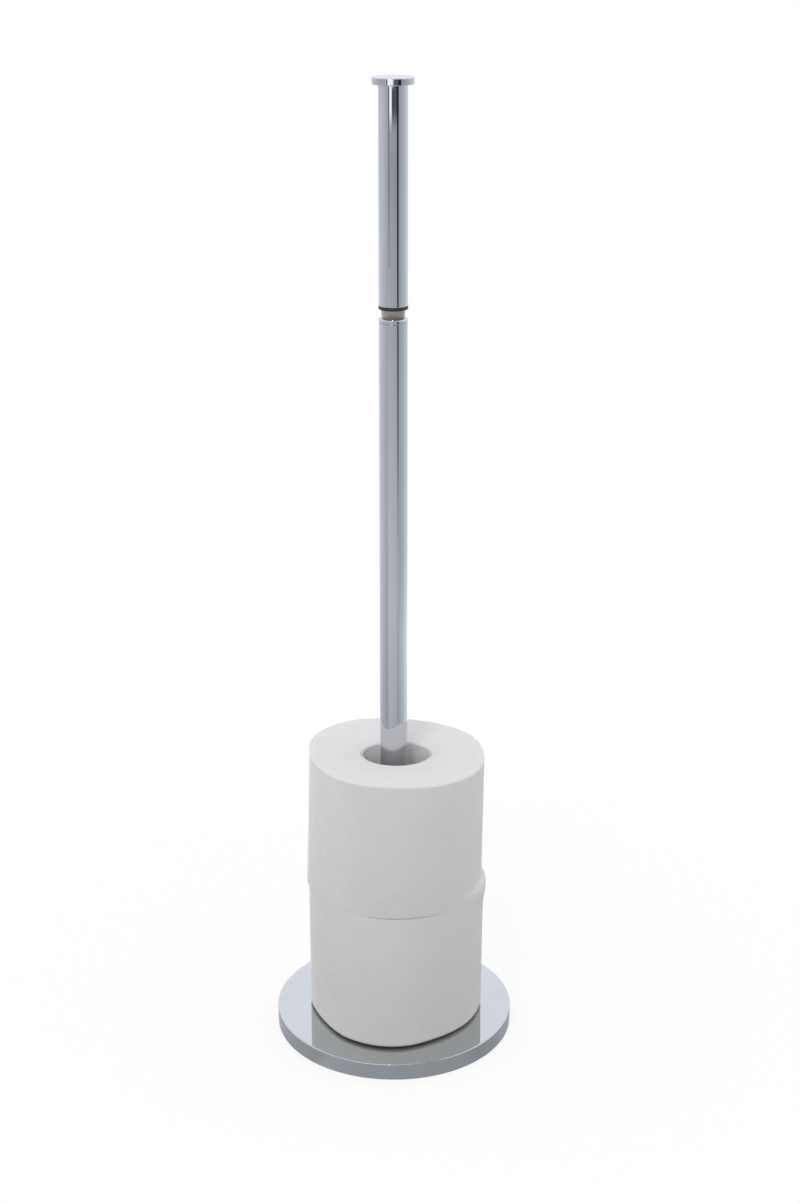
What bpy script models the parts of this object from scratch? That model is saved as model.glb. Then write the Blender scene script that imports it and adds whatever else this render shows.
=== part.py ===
# Freestanding toilet paper holder with a fold-down arm, and the two reserve rolls on its post.
# Lengths are in metres, +Z is up, and the floor under the middle of the base is the origin.

import math

import bmesh
import bpy
from mathutils import Matrix, Vector

MM = 0.001

# Clearances: under or beside a piece that seats on another, and round a piece in a bore or hole
SEAT_GAP = 0.3 * MM
BORE_GAP = 0.3 * MM

# Base: a pressed cover over a cast weight, on a rubber pad
BASE_DIAMETER = 160 * MM
COVER_WALL = 0.8 * MM
COVER_EDGE_ROUND = 0.8 * MM
COVER_FLOOR_GAP = 0.6 * MM
WEIGHT_THICKNESS = 8.8 * MM
WEIGHT_EDGE_BEVEL = 1.2 * MM
PAD_INSET = 5 * MM
PAD_THICKNESS = 2 * MM

# Screw that pulls the base and the post together, with its washer
SCREW_DIAMETER = 6 * MM
SCREW_GRIP = 16 * MM
SCREW_HEAD_DIAMETER = 10.5 * MM
SCREW_HEAD_HEIGHT = 3.3 * MM
SCREW_SOCKET_WIDTH = 4 * MM
SCREW_SOCKET_DEPTH = 2 * MM
WASHER_DIAMETER = 18 * MM
WASHER_THICKNESS = 1.6 * MM
RECESS_GAP = 1 * MM

# Post: a tube that stands on the cover, with a plug for the screw in its foot
POST_DIAMETER = 18 * MM
TUBE_WALL = 1.2 * MM
POST_HEIGHT = 478.8 * MM
FOOT_PLUG_LENGTH = 24 * MM
PLUG_BEVEL = 0.6 * MM

# Ferrule: the rounded rim on the post's turned-down end
FERRULE_HEIGHT = 3.5 * MM
FERRULE_WALL = 0.4 * MM
FERRULE_LIP = 1.1 * MM
FERRULE_ROUND = 0.9 * MM

# Hinge: a milled tongue that swings back through the mouth in the post
PIVOT_DEPTH = 6.5 * MM
PIN_DIAMETER = 3 * MM
TONGUE_WIDTH = 14.5 * MM
TONGUE_THICKNESS = 8 * MM
NECK_HEIGHT = 5.4 * MM
MOUTH_SIDE_DEPTH = 3.2 * MM
TONGUE_BAR_LENGTH = 26 * MM

# Brake in the post under the tongue: a plug, its spring and the spring's seat
BRAKE_PLUG_LENGTH = 12 * MM
SPRING_LENGTH = 26 * MM
SPRING_COIL_DIAMETER = 11 * MM
SPRING_WIRE = 1.4 * MM
SPRING_TURNS = 8
SPRING_SEAT_LENGTH = 6 * MM

# Arm: a tube with a soft ring at its lower end and a flanged cap at its upper one
ARM_TUBE_LENGTH = 131.8 * MM
BUFFER_FLOOR = 1 * MM
BUFFER_OVERHANG = 0.15 * MM
BUFFER_LIP_WALL = 0.4 * MM
BUFFER_LIP_HEIGHT = 0.8 * MM
SET_SCREW_DIAMETER = 4 * MM
SET_SCREW_LENGTH = 6 * MM
SET_SCREW_HEIGHT = 14 * MM
SET_SCREW_SOCKET_WIDTH = 2 * MM
SET_SCREW_SOCKET_DEPTH = 2.2 * MM
SET_SCREW_INSET = 0.4 * MM
CAP_DIAMETER = 25.7 * MM
CAP_THICKNESS = 4.2 * MM
CAP_TOP_ROUND = 0.5 * MM
CAP_UNDER_ROUND = 0.3 * MM
CAP_STUD_DIAMETER = 6 * MM
CAP_STUD_LENGTH = 10 * MM
CAP_PLUG_LENGTH = 14 * MM

# Reserve rolls: a mean size, and how far each one's outline stands out from it at the bottom and
# at the top, in mm every 30 degrees from +X towards +Y
ROLL_DIAMETER = 114 * MM
ROLL_SHAPES = {
    "lower": ((2.8, 2.0, 0, -0.5, 1.0, 1.6, 0.4, -2.0, 1.2, 3.0, 0, 1.4),
              (3.4, 1.4, -1.4, -2.2, 0.5, 2.0, 0.5, -1.0, -2.6, -3.1, -0.6, 2.4)),
    "upper": ((2.6, 0.6, -1.8, -2.4, 0.5, 2.4, 1.7, -0.6, -2.5, -3.1, -0.6, 2.2),
              (3.0, 1.7, -2.0, -1.2, 3.1, 3.9, -0.2, -2.2, -3.1, -3.5, 1.0, 4.4)),
}
ROLL_HEIGHT = 94 * MM
ROLL_EDGE_ROUND = 2 * MM
ROLL_TOP_ROUND = 3 * MM
ROLL_STACK_ROUND = 0.8 * MM
ROLL_BORE_ROUND = 0.6 * MM
ROLL_DISH = 1.4 * MM
CORE_DIAMETER = 42 * MM
CORE_OVAL = 1.9 * MM
CORE_WALL = 0.8 * MM
CORE_INSET = 0.6 * MM
ROLL_OFFSETS = {"lower": (0.7 * MM, -1.5 * MM), "upper": (1.6 * MM, -1 * MM)}

# How finely round forms are cut
ARC_STEPS = 4
SMALL_ARC = 1.5 * MM
SMALL_ARC_STEPS = 2
TUBE_SIDES = 48
BASE_SIDES = 72
ROLL_SIDES = 60
SMALL_SIDES = 20
SPRING_POINTS_PER_TURN = 12
SMOOTH_ANGLE = math.radians(35)

# Heights above the floor, worked out from the sizes above
WEIGHT_BOTTOM = PAD_THICKNESS + SEAT_GAP
WEIGHT_TOP = WEIGHT_BOTTOM + WEIGHT_THICKNESS
BASE_TOP = WEIGHT_TOP + SEAT_GAP + COVER_WALL
SCREW_HEAD_BOTTOM = WEIGHT_BOTTOM + SEAT_GAP
WASHER_BOTTOM = SCREW_HEAD_BOTTOM + SCREW_HEAD_HEIGHT + SEAT_GAP
RECESS_TOP = WASHER_BOTTOM + WASHER_THICKNESS + SEAT_GAP
POST_FOOT = BASE_TOP + SEAT_GAP
RIM_TOP = BASE_TOP + POST_HEIGHT
FERRULE_SEAM = RIM_TOP - FERRULE_HEIGHT
PIVOT_HEIGHT = RIM_TOP - PIVOT_DEPTH
MOUTH_SILL = PIVOT_HEIGHT - TONGUE_THICKNESS / 2 - SEAT_GAP
ARM_BOTTOM = RIM_TOP + NECK_HEIGHT
ARM_TUBE_BOTTOM = ARM_BOTTOM + BUFFER_FLOOR + SEAT_GAP
ARM_TUBE_TOP = ARM_TUBE_BOTTOM + ARM_TUBE_LENGTH
CAP_BOTTOM = ARM_TUBE_TOP + SEAT_GAP

# Radii that several pieces share
TUBE_RADIUS = POST_DIAMETER / 2
BORE_RADIUS = TUBE_RADIUS - TUBE_WALL
PLUG_RADIUS = BORE_RADIUS - BORE_GAP
SCREW_HOLE = SCREW_DIAMETER / 2 + BORE_GAP
PIN_HOLE = PIN_DIAMETER / 2 + BORE_GAP
PIVOT = Vector((0, 0, PIVOT_HEIGHT))

# Colour, roughness and metallic value of each finish
FINISHES = {
    "chrome": ((0.62, 0.63, 0.65), 0.08, 1.0),
    "bare_zinc": ((0.36, 0.35, 0.32), 0.5, 1.0),
    "steel": ((0.45, 0.45, 0.46), 0.35, 1.0),
    "cast_iron": ((0.09, 0.09, 0.1), 0.8, 0.6),
    "black_rubber": ((0.03, 0.03, 0.03), 0.85, 0.0),
    "black_plastic": ((0.04, 0.038, 0.045), 0.45, 0.0),
    "white_nylon": ((0.8, 0.79, 0.74), 0.5, 0.0),
    "tissue": ((0.86, 0.86, 0.88), 0.95, 0.0),
    "grey_card": ((0.4, 0.4, 0.41), 0.9, 0.0),
}


def clear_scene():
    for thing in list(bpy.data.objects):
        bpy.data.objects.remove(thing, do_unlink=True)


def make_material(name, finish):
    color, roughness, metallic = FINISHES[finish]
    material = bpy.data.materials.new(name)
    material.use_nodes = True
    surface = material.node_tree.nodes["Principled BSDF"]
    surface.inputs["Base Color"].default_value = (*color, 1)
    surface.inputs["Roughness"].default_value = roughness
    surface.inputs["Metallic"].default_value = metallic
    material.diffuse_color = (*color, 1)
    return material


def make_empty(name, location):
    empty = bpy.data.objects.new(name, None)
    empty.empty_display_size = 20 * MM
    empty.location = location
    bpy.context.scene.collection.objects.link(empty)
    return empty


# A piece is modelled in world coordinates, then given an origin and, if it moves, its empty
def add_object(name, shape, origin=Vector((0, 0, 0)), parent=None):
    mesh = bpy.data.meshes.new(name)
    bmesh.ops.recalc_face_normals(shape, faces=shape.faces)
    shape.to_mesh(mesh)
    shape.free()
    mesh.transform(Matrix.Translation(-origin))
    thing = bpy.data.objects.new(name, mesh)
    thing.parent = parent
    thing.location = origin - parent.location if parent else origin
    bpy.context.scene.collection.objects.link(thing)
    return thing


def add_piece(name, shape, finish, origin=Vector((0, 0, 0)), parent=None):
    piece = add_object(name, shape, origin, parent)
    piece.data.materials.append(make_material(name, finish))
    piece.data.shade_smooth()
    piece.data.set_sharp_from_angle(angle=SMOOTH_ANGLE)
    return piece


def add_cutter(name, shape, parent=None):
    cutter = add_object(name, shape, parent.location if parent else Vector((0, 0, 0)), parent)
    cutter.hide_render = True
    cutter.display_type = "WIRE"
    return cutter


def cut(piece, cutter):
    modifier = piece.modifiers.new(cutter.name, "BOOLEAN")
    modifier.operation = "DIFFERENCE"
    modifier.solver = "EXACT"
    modifier.object = cutter


# Corners are (across, up, radius); a radius above zero turns the corner into an arc
def round_corners(corners):
    points = []
    for index, (across, up, radius) in enumerate(corners):
        corner = Vector((across, up))
        if radius <= 0:
            points.append(corner)
            continue
        to_last = (Vector(corners[index - 1][:2]) - corner).normalized()
        to_next = (Vector(corners[(index + 1) % len(corners)][:2]) - corner).normalized()
        half = to_last.angle(to_next) / 2
        centre = corner + (to_last + to_next).normalized() * radius / math.sin(half)
        start = corner + to_last * radius / math.tan(half) - centre
        end = corner + to_next * radius / math.tan(half) - centre
        sweep = start.angle(end)
        steps = SMALL_ARC_STEPS if radius < SMALL_ARC else ARC_STEPS
        for step in range(steps + 1):
            share = step / steps
            point = start * math.sin((1 - share) * sweep) + end * math.sin(share * sweep)
            points.append(centre + point / math.sin(sweep))
    return points


# The outline is spun about Z; a run of it that lies on the axis needs no face
def turned(corners, sides):
    shape = bmesh.new()
    points = round_corners(corners)
    verts = [shape.verts.new((point.x, 0, point.y)) for point in points]
    edges = []
    for index, vert in enumerate(verts):
        following = verts[(index + 1) % len(verts)]
        if vert.co.x > 0 or following.co.x > 0:
            edges.append(shape.edges.new((vert, following)))
    bmesh.ops.spin(shape, geom=verts + edges, axis=(0, 0, 1), cent=(0, 0, 0),
                   angle=math.tau, steps=sides, use_merge=True)
    bmesh.ops.remove_doubles(shape, verts=shape.verts, dist=1e-7)
    return shape


# A plain turned bar, with its ends bevelled and a bore through it where one is given
def turned_plug(radius, bottom, top, bevel=0.0, bore=0.0, sides=TUBE_SIDES):
    corners = [
        (bore, bottom, 0),
        (radius - bevel, bottom, 0),
        (radius, bottom + bevel, 0),
        (radius, top - bevel, 0),
        (radius - bevel, top, 0),
        (bore, top, 0),
    ]
    if bevel == 0:
        corners = [corners[0], (radius, bottom, 0), (radius, top, 0), corners[5]]
    return turned(corners, sides)


# A round bar along X or Y, for pins and for the holes they go in
def cross_bar(radius, start, end, height, axis, sides=SMALL_SIDES):
    shape = bmesh.new()
    bmesh.ops.create_cone(shape, cap_ends=True, segments=sides, radius1=radius, radius2=radius,
                          depth=end - start)
    turn = Matrix.Rotation(math.pi / 2, 4, "Y" if axis == "X" else "X")
    middle = (start + end) / 2
    place = Vector((middle, 0, height)) if axis == "X" else Vector((0, middle, height))
    bmesh.ops.transform(shape, matrix=Matrix.Translation(place) @ turn, verts=shape.verts)
    return shape


def extruded(points, depth):
    shape = bmesh.new()
    face = shape.faces.new([shape.verts.new(point) for point in points])
    side = bmesh.ops.extrude_face_region(shape, geom=[face])["geom"]
    moved = [item for item in side if isinstance(item, bmesh.types.BMVert)]
    bmesh.ops.translate(shape, verts=moved, vec=depth)
    return shape


# A hexagonal socket, cut from its mouth along +Z
def hex_socket(width, mouth, depth):
    shape = bmesh.new()
    corner = width / math.sqrt(3)
    bmesh.ops.create_cone(shape, cap_ends=True, segments=6, radius1=corner, radius2=corner,
                          depth=2 * depth)
    bmesh.ops.translate(shape, verts=shape.verts, vec=(0, 0, mouth))
    return shape


# Base

def make_base_pad():
    radius = BASE_DIAMETER / 2 - PAD_INSET
    shape = turned_plug(radius, 0, PAD_THICKNESS, sides=BASE_SIDES)
    add_piece("base_pad", shape, "black_rubber")


def make_base_weight():
    outer = BASE_DIAMETER / 2 - COVER_WALL - BORE_GAP
    recess = WASHER_DIAMETER / 2 + RECESS_GAP
    inner_round = max(COVER_EDGE_ROUND - COVER_WALL, 0)
    bevel = max(WEIGHT_EDGE_BEVEL, inner_round)
    corners = [
        (recess, WEIGHT_BOTTOM, 0),
        (outer, WEIGHT_BOTTOM, 0),
        (outer, WEIGHT_TOP - bevel, 0),
        (outer - bevel, WEIGHT_TOP, 0),
        (SCREW_HOLE, WEIGHT_TOP, 0),
        (SCREW_HOLE, RECESS_TOP, 0),
        (recess, RECESS_TOP, 0),
    ]
    add_piece("base_weight", turned(corners, BASE_SIDES), "cast_iron")


def make_base_cover():
    outer = BASE_DIAMETER / 2
    inner = outer - COVER_WALL
    under = BASE_TOP - COVER_WALL
    corners = [
        (inner, COVER_FLOOR_GAP, 0),
        (outer, COVER_FLOOR_GAP, 0),
        (outer, BASE_TOP, COVER_EDGE_ROUND),
        (SCREW_HOLE, BASE_TOP, 0),
        (SCREW_HOLE, under, 0),
        (inner, under, max(COVER_EDGE_ROUND - COVER_WALL, 0)),
    ]
    add_piece("base_cover", turned(corners, BASE_SIDES), "chrome")


def make_base_screw():
    head = SCREW_HEAD_DIAMETER / 2
    shank = SCREW_DIAMETER / 2
    head_top = SCREW_HEAD_BOTTOM + SCREW_HEAD_HEIGHT
    tip = POST_FOOT + SCREW_GRIP
    corners = [
        (0, SCREW_HEAD_BOTTOM, 0),
        (head * 0.6, SCREW_HEAD_BOTTOM, 0),
        (head, head_top - SCREW_HEAD_HEIGHT * 0.3, 0),
        (head, head_top, 0),
        (shank, head_top, 0),
        (shank, tip - PLUG_BEVEL, 0),
        (shank - PLUG_BEVEL, tip, 0),
        (0, tip, 0),
    ]
    screw = add_piece("base_screw", turned(corners, 24), "steel")
    socket = hex_socket(SCREW_SOCKET_WIDTH, SCREW_HEAD_BOTTOM, SCREW_SOCKET_DEPTH)
    cut(screw, add_cutter("base_screw_socket", socket))


def make_base_washer():
    shape = turned_plug(WASHER_DIAMETER / 2, WASHER_BOTTOM, WASHER_BOTTOM + WASHER_THICKNESS,
                        bore=SCREW_HOLE, sides=32)
    add_piece("base_washer", shape, "steel")


# Post, with the mouth that the tongue swings through

def make_mouth_cutter():
    channel = TONGUE_WIDTH / 2 + BORE_GAP
    outside = POST_DIAMETER
    top = RIM_TOP + POST_DIAMETER
    plan = [(-channel, 0), (channel, 0), (channel, MOUTH_SIDE_DEPTH), (outside, MOUTH_SIDE_DEPTH),
            (outside, outside), (-outside, outside), (-outside, MOUTH_SIDE_DEPTH),
            (-channel, MOUTH_SIDE_DEPTH)]
    points = [(across, back, MOUTH_SILL) for across, back in plan]
    return add_cutter("mouth_cutter", extruded(points, (0, 0, top - MOUTH_SILL)))


def make_pin_cutter():
    shape = cross_bar(PIN_HOLE, -POST_DIAMETER, POST_DIAMETER, PIVOT_HEIGHT, "X")
    return add_cutter("pin_hole_cutter", shape)


def make_post_tube(mouth_cutter, pin_cutter):
    end_radius = TUBE_RADIUS - FERRULE_WALL - BORE_GAP
    end_top = RIM_TOP - FERRULE_LIP - SEAT_GAP
    shoulder = FERRULE_SEAM - SEAT_GAP
    corners = [
        (BORE_RADIUS, POST_FOOT, 0),
        (TUBE_RADIUS, POST_FOOT, 0),
        (TUBE_RADIUS, shoulder, 0),
        (end_radius, shoulder, 0),
        (end_radius, end_top, 0),
        (BORE_RADIUS, end_top, 0),
    ]
    tube = add_piece("post_tube", turned(corners, TUBE_SIDES), "chrome")
    cut(tube, mouth_cutter)
    cut(tube, pin_cutter)


def make_post_ferrule(mouth_cutter):
    sleeve = TUBE_RADIUS - FERRULE_WALL
    corners = [
        (sleeve, FERRULE_SEAM, 0),
        (TUBE_RADIUS, FERRULE_SEAM, 0),
        (TUBE_RADIUS, RIM_TOP, FERRULE_ROUND),
        (BORE_RADIUS, RIM_TOP, 0),
        (BORE_RADIUS, RIM_TOP - FERRULE_LIP, 0),
        (sleeve, RIM_TOP - FERRULE_LIP, 0),
    ]
    ferrule = add_piece("post_ferrule", turned(corners, TUBE_SIDES), "chrome")
    cut(ferrule, mouth_cutter)


def make_post_foot_plug():
    shape = turned_plug(PLUG_RADIUS, POST_FOOT, POST_FOOT + FOOT_PLUG_LENGTH, bevel=PLUG_BEVEL,
                        bore=SCREW_HOLE, sides=32)
    add_piece("post_foot_plug", shape, "steel")


def make_hinge_pin():
    half = TUBE_RADIUS - BORE_GAP
    shape = cross_bar(PIN_DIAMETER / 2, -half, half, PIVOT_HEIGHT, "X")
    add_piece("hinge_pin", shape, "steel", origin=PIVOT)


# Brake: the plug presses up on the tongue's round end and holds the arm where it is put

def make_brake():
    plug_bottom = MOUTH_SILL - BRAKE_PLUG_LENGTH
    spring_top = plug_bottom - SEAT_GAP
    spring_bottom = spring_top - SPRING_LENGTH
    seat_top = spring_bottom - SEAT_GAP
    plug = turned_plug(PLUG_RADIUS, plug_bottom, MOUTH_SILL, bevel=PLUG_BEVEL, sides=32)
    add_piece("brake_plug", plug, "white_nylon")
    seat = turned_plug(PLUG_RADIUS, seat_top - SPRING_SEAT_LENGTH, seat_top, bevel=PLUG_BEVEL,
                       sides=32)
    add_piece("spring_seat", seat, "steel")
    make_brake_spring(spring_bottom, spring_top)


# One unbroken wire whose first and last turns lie nearly flat
def make_brake_spring(bottom, top):
    curve = bpy.data.curves.new("brake_spring", "CURVE")
    curve.dimensions = "3D"
    curve.bevel_depth = SPRING_WIRE / 2
    curve.bevel_resolution = 1
    curve.use_fill_caps = True
    radius = (SPRING_COIL_DIAMETER - SPRING_WIRE) / 2
    low = bottom + SPRING_WIRE / 2
    rise = top - SPRING_WIRE / 2 - low
    end_rise = SPRING_WIRE * 1.35
    count = SPRING_TURNS * SPRING_POINTS_PER_TURN
    spline = curve.splines.new("POLY")
    spline.points.add(count)
    for index in range(count + 1):
        turns = index / SPRING_POINTS_PER_TURN
        from_end = min(turns, SPRING_TURNS - turns)
        inner_pitch = (rise - 2 * end_rise) / (SPRING_TURNS - 2)
        climb = end_rise * from_end if from_end < 1 else end_rise + inner_pitch * (from_end - 1)
        height = low + climb if turns <= SPRING_TURNS / 2 else low + rise - climb
        angle = math.tau * turns
        spline.points[index].co = (radius * math.cos(angle), radius * math.sin(angle), height, 1)
    spring = bpy.data.objects.new("brake_spring", curve)
    curve.materials.append(make_material("brake_spring", "steel"))
    bpy.context.scene.collection.objects.link(spring)


# Arm, all of it carried by an empty on the hinge pin

# The bar's end is a ball in the bore, milled to a flat tongue that is round about the pin
def make_hinge_tongue(arm, pin_cutter, set_screw_cutter):
    shoulder = ARM_BOTTOM - SEAT_GAP
    top = ARM_BOTTOM + TONGUE_BAR_LENGTH
    ball = [(PLUG_RADIUS * math.sin(angle), PIVOT_HEIGHT - PLUG_RADIUS * math.cos(angle), 0)
            for angle in (math.radians(15 * step) for step in range(7))]
    corners = ball + [(PLUG_RADIUS, top - PLUG_BEVEL, 0), (PLUG_RADIUS - PLUG_BEVEL, top, 0),
                      (0, top, 0)]
    tongue = add_piece("hinge_tongue", turned(corners, 32), "bare_zinc", origin=PIVOT, parent=arm)
    half = TONGUE_THICKNESS / 2
    outside = POST_DIAMETER
    low = PIVOT_HEIGHT - outside
    outline = [(-outside, shoulder), (-outside, low), (outside, low), (outside, shoulder),
               (half, shoulder)]
    for step in range(13):
        angle = math.pi * step / 12
        outline.append((half * math.cos(angle), PIVOT_HEIGHT - half * math.sin(angle)))
    outline.append((-half, shoulder))
    points = [(-outside, back, height) for back, height in outline]
    cut(tongue, add_cutter("tongue_faces_cutter", extruded(points, (2 * outside, 0, 0)), arm))
    for side, direction in (("left", -1), ("right", 1)):
        edge = direction * TONGUE_WIDTH / 2
        plan = [(edge, -outside), (edge, outside), (direction * outside, outside),
                (direction * outside, -outside)]
        points = [(across, back, low) for across, back in plan]
        shape = extruded(points, (0, 0, shoulder - low))
        cut(tongue, add_cutter(f"tongue_{side}_cutter", shape, arm))
    cut(tongue, pin_cutter)
    cut(tongue, set_screw_cutter)


# The soft ring pushes over the arm tube's turned-down end and lies flush with the tube
def make_arm_buffer(arm):
    outer = TUBE_RADIUS + BUFFER_OVERHANG
    lip_inner = outer - BUFFER_LIP_WALL
    floor_top = ARM_BOTTOM + BUFFER_FLOOR
    corners = [
        (BORE_RADIUS, ARM_BOTTOM, 0),
        (outer, ARM_BOTTOM, BUFFER_FLOOR * 0.4),
        (outer, floor_top + BUFFER_LIP_HEIGHT, 0),
        (lip_inner, floor_top + BUFFER_LIP_HEIGHT, 0),
        (lip_inner, floor_top, 0),
        (BORE_RADIUS, floor_top, 0),
    ]
    add_piece("arm_buffer", turned(corners, TUBE_SIDES), "black_plastic", origin=PIVOT, parent=arm)


def make_arm_tube(arm, set_screw_cutter):
    end_radius = TUBE_RADIUS + BUFFER_OVERHANG - BUFFER_LIP_WALL - BORE_GAP
    shoulder = ARM_BOTTOM + BUFFER_FLOOR + BUFFER_LIP_HEIGHT + SEAT_GAP
    corners = [
        (BORE_RADIUS, ARM_TUBE_BOTTOM, 0),
        (end_radius, ARM_TUBE_BOTTOM, 0),
        (end_radius, shoulder, 0),
        (TUBE_RADIUS, shoulder, 0),
        (TUBE_RADIUS, ARM_TUBE_TOP, 0),
        (BORE_RADIUS, ARM_TUBE_TOP, 0),
    ]
    tube = add_piece("arm_tube", turned(corners, TUBE_SIDES), "chrome", origin=PIVOT, parent=arm)
    cut(tube, set_screw_cutter)


def make_set_screw_cutter(arm, height):
    pocket = TUBE_RADIUS - SET_SCREW_INSET - SET_SCREW_LENGTH - SEAT_GAP
    radius = SET_SCREW_DIAMETER / 2 + BORE_GAP
    shape = cross_bar(radius, pocket, POST_DIAMETER, height, "Y")
    return add_cutter("set_screw_cutter", shape, arm)


def make_set_screw(arm, height):
    end = TUBE_RADIUS - SET_SCREW_INSET
    shape = cross_bar(SET_SCREW_DIAMETER / 2, end - SET_SCREW_LENGTH, end, height, "Y")
    screw = add_piece("tongue_set_screw", shape, "steel", origin=PIVOT, parent=arm)
    socket = hex_socket(SET_SCREW_SOCKET_WIDTH, 0, SET_SCREW_SOCKET_DEPTH)
    turn = Matrix.Translation((0, end, height)) @ Matrix.Rotation(math.pi / 2, 4, "X")
    bmesh.ops.transform(socket, matrix=turn, verts=socket.verts)
    cut(screw, add_cutter("set_screw_socket", socket, arm))


def make_cap_plug(arm):
    hole = CAP_STUD_DIAMETER / 2 + BORE_GAP
    shape = turned_plug(PLUG_RADIUS, ARM_TUBE_TOP - CAP_PLUG_LENGTH, ARM_TUBE_TOP,
                        bevel=PLUG_BEVEL, bore=hole, sides=32)
    add_piece("cap_plug", shape, "steel", origin=PIVOT, parent=arm)


def make_end_cap(arm):
    outer = CAP_DIAMETER / 2
    stud = CAP_STUD_DIAMETER / 2
    tip = CAP_BOTTOM - CAP_STUD_LENGTH
    top = CAP_BOTTOM + CAP_THICKNESS
    corners = [
        (0, tip, 0),
        (stud - PLUG_BEVEL, tip, 0),
        (stud, tip + PLUG_BEVEL, 0),
        (stud, CAP_BOTTOM, 0),
        (outer, CAP_BOTTOM, CAP_UNDER_ROUND),
        (outer, top, CAP_TOP_ROUND),
        (0, top, 0),
    ]
    add_piece("end_cap", turned(corners, TUBE_SIDES), "chrome", origin=PIVOT, parent=arm)


# Rolls: turned rings, pressed out of round

# The height of a smooth closed curve through equally spaced values, at an angle
def around(values, angle):
    count = len(values)
    place = angle / math.tau * count
    index = math.floor(place)
    share = place - index
    before, start, end, after = (values[(index + step) % count] for step in (-1, 0, 1, 2))
    return start + share / 2 * (end - before + share * (
        2 * before - 5 * start + 4 * end - after + share * (3 * (start - end) + after - before)))


# The core and the bore that it fills: an oval round its own middle
def oval_point(radius, angle, offset):
    return Vector((offset[0] + (radius + CORE_OVAL) * math.cos(angle),
                   offset[1] + (radius - CORE_OVAL) * math.sin(angle)))


def press_core(shape, offset):
    for vert in shape.verts:
        angle = math.atan2(vert.co.y, vert.co.x)
        vert.co.xy = oval_point(math.hypot(vert.co.x, vert.co.y), angle, offset)


# From the bore to the outside, each winding lies a little further from oval and nearer the outline
def press_paper(shape, place, bottom, bore, outer):
    low, high = ROLL_SHAPES[place]
    for vert in shape.verts:
        angle = math.atan2(vert.co.y, vert.co.x) % math.tau
        share = (math.hypot(vert.co.x, vert.co.y) - bore) / (outer - bore)
        climb = (vert.co.z - bottom) / ROLL_HEIGHT
        stand_out = around(low, angle) * (1 - climb) + around(high, angle) * climb
        reach = outer + stand_out * MM
        outside = Vector((reach * math.cos(angle), reach * math.sin(angle)))
        vert.co.xy = oval_point(bore, angle, ROLL_OFFSETS[place]).lerp(outside, share)


def make_roll(place, bottom, bottom_round, top_round, dish):
    carrier = make_empty(f"{place}_roll", Vector((0, 0, bottom)))
    core_inner = CORE_DIAMETER / 2
    core_outer = core_inner + CORE_WALL
    bore = core_outer + BORE_GAP
    outer = ROLL_DIAMETER / 2
    top = bottom + ROLL_HEIGHT
    corners = [
        (bore, bottom, ROLL_BORE_ROUND),
        (outer, bottom, bottom_round),
        (outer, top, top_round),
        (bore, top - dish, ROLL_BORE_ROUND),
    ]
    paper = turned(corners, ROLL_SIDES)
    press_paper(paper, place, bottom, bore, outer)
    add_piece(f"{place}_roll_paper", paper, "tissue", origin=carrier.location, parent=carrier)
    core = turned_plug(core_outer, bottom + CORE_INSET, top - dish - CORE_INSET, bore=core_inner,
                       sides=ROLL_SIDES)
    press_core(core, ROLL_OFFSETS[place])
    add_piece(f"{place}_roll_core", core, "grey_card", origin=carrier.location, parent=carrier)
    return top


def make_stand():
    make_base_pad()
    make_base_weight()
    make_base_cover()
    make_base_screw()
    make_base_washer()
    mouth_cutter = make_mouth_cutter()
    pin_cutter = make_pin_cutter()
    make_post_tube(mouth_cutter, pin_cutter)
    make_post_ferrule(mouth_cutter)
    make_post_foot_plug()
    make_hinge_pin()
    make_brake()
    return pin_cutter


def make_arm(pin_cutter):
    arm = make_empty("arm", PIVOT)
    screw_height = ARM_TUBE_BOTTOM + SET_SCREW_HEIGHT
    set_screw_cutter = make_set_screw_cutter(arm, screw_height)
    make_hinge_tongue(arm, pin_cutter, set_screw_cutter)
    make_arm_buffer(arm)
    make_arm_tube(arm, set_screw_cutter)
    make_set_screw(arm, screw_height)
    make_cap_plug(arm)
    make_end_cap(arm)


def make_rolls():
    lower_top = make_roll("lower", BASE_TOP + SEAT_GAP, ROLL_EDGE_ROUND, ROLL_STACK_ROUND, 0)
    make_roll("upper", lower_top + SEAT_GAP, ROLL_STACK_ROUND, ROLL_TOP_ROUND, ROLL_DISH)


clear_scene()
make_arm(make_stand())
make_rolls()
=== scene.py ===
import math

import bmesh
import bpy
from mathutils import Matrix, Vector


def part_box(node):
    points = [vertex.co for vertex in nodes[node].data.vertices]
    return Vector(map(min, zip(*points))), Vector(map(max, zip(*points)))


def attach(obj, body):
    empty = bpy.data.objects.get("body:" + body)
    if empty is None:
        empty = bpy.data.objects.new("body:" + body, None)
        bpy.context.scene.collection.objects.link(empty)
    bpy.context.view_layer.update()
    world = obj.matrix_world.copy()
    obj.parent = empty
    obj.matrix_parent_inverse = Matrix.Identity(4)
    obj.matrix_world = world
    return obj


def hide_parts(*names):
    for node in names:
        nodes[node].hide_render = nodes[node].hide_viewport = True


# Toilet paper stand with a fold-down arm. Lengths in metres, front is -Y, floor at z = 0.

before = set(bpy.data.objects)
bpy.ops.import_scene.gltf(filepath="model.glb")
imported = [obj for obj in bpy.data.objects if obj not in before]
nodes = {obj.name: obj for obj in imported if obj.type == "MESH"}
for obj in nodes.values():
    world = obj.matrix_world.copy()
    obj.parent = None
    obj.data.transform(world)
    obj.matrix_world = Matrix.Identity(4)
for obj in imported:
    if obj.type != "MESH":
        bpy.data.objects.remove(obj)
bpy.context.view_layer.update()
mm = 0.001
white = (1.0, 1.0, 1.0, 1)


# Node helpers

def setAll(thing, **settings):
    for name, value in settings.items():
        setattr(thing, name, value)


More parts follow.
